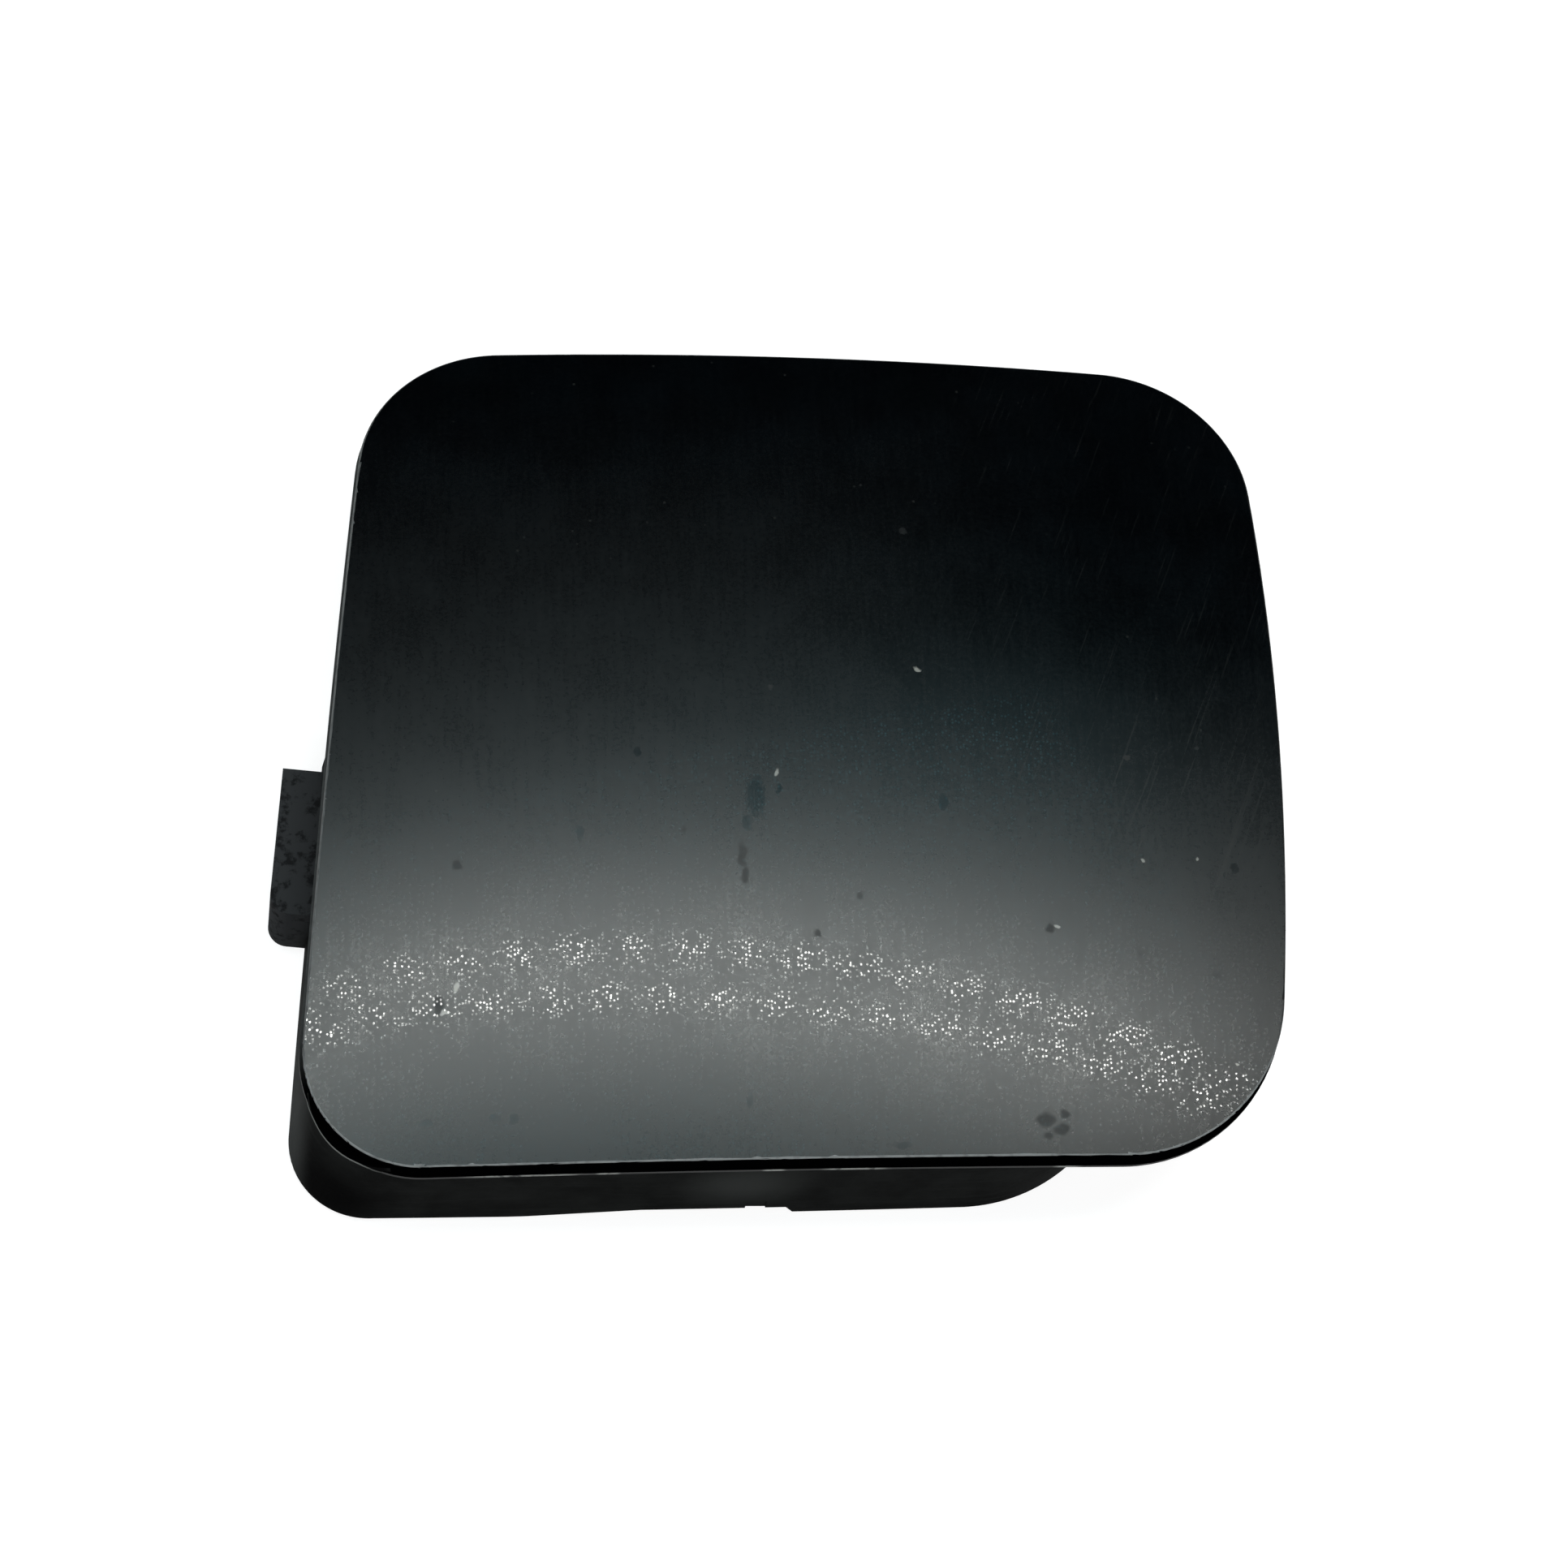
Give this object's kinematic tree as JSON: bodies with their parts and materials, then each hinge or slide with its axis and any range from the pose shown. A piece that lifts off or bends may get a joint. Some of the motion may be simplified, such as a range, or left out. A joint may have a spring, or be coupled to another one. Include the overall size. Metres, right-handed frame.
{
  "type": "tow hook cover",
  "caption": "Rounded squarish cap with a crowned satin black face, hollow skirt, side locating lug and snap arm, closing the towing eye opening in a car bumper.",
  "frame": {"origin": "centre of the bounding box at the rear edge of the skirt, where the cap stands when it lies face up", "axes": "+Z out of the crowned face, against the way the cap is pushed in; +X along the face from the locating lug towards the snap arm; +Y across the face"},
  "size_m": [0.0849, 0.0734, 0.0191],
  "materials": {
    "black_plastic": "satin black, fine grain, lightly scratched"
  },
  "bodies": {
    "root": {"tow_hook_cover": "black_plastic"}
  },
  "joints": []
}
